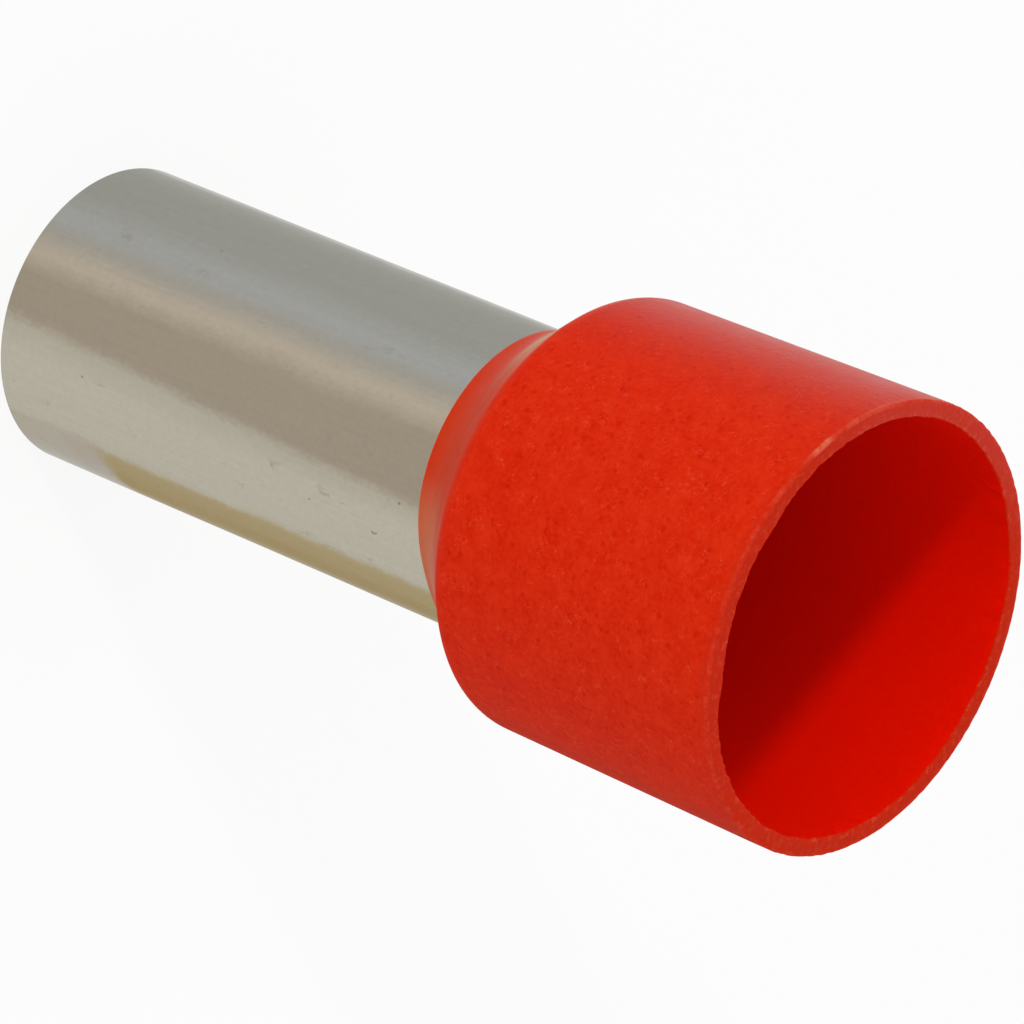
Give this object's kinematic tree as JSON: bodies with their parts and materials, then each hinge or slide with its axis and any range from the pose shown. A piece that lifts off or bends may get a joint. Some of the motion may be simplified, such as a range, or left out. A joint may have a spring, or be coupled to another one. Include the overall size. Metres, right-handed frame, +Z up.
{
  "type": "wire ferrule",
  "caption": "Insulated wire-end ferrule: a thin tinned metal sleeve that is crimped on stranded wire, with a red plastic funnel collar that takes the wire's insulation.",
  "frame": {"origin": "centre of the sleeve's cut end, on the surface that the ferrule stands on", "axes": "+Z up along the ferrule's axis, from the sleeve's cut end to the collar's mouth"},
  "size_m": [0.0128, 0.0128, 0.0285],
  "materials": {
    "tinned_copper": "satin tin plating on copper, drawn lengthwise",
    "red_plastic": "moulded polypropylene with a fine matt grain"
  },
  "bodies": {
    "root": {"sleeve": "tinned_copper", "collar": "red_plastic"}
  },
  "joints": []
}
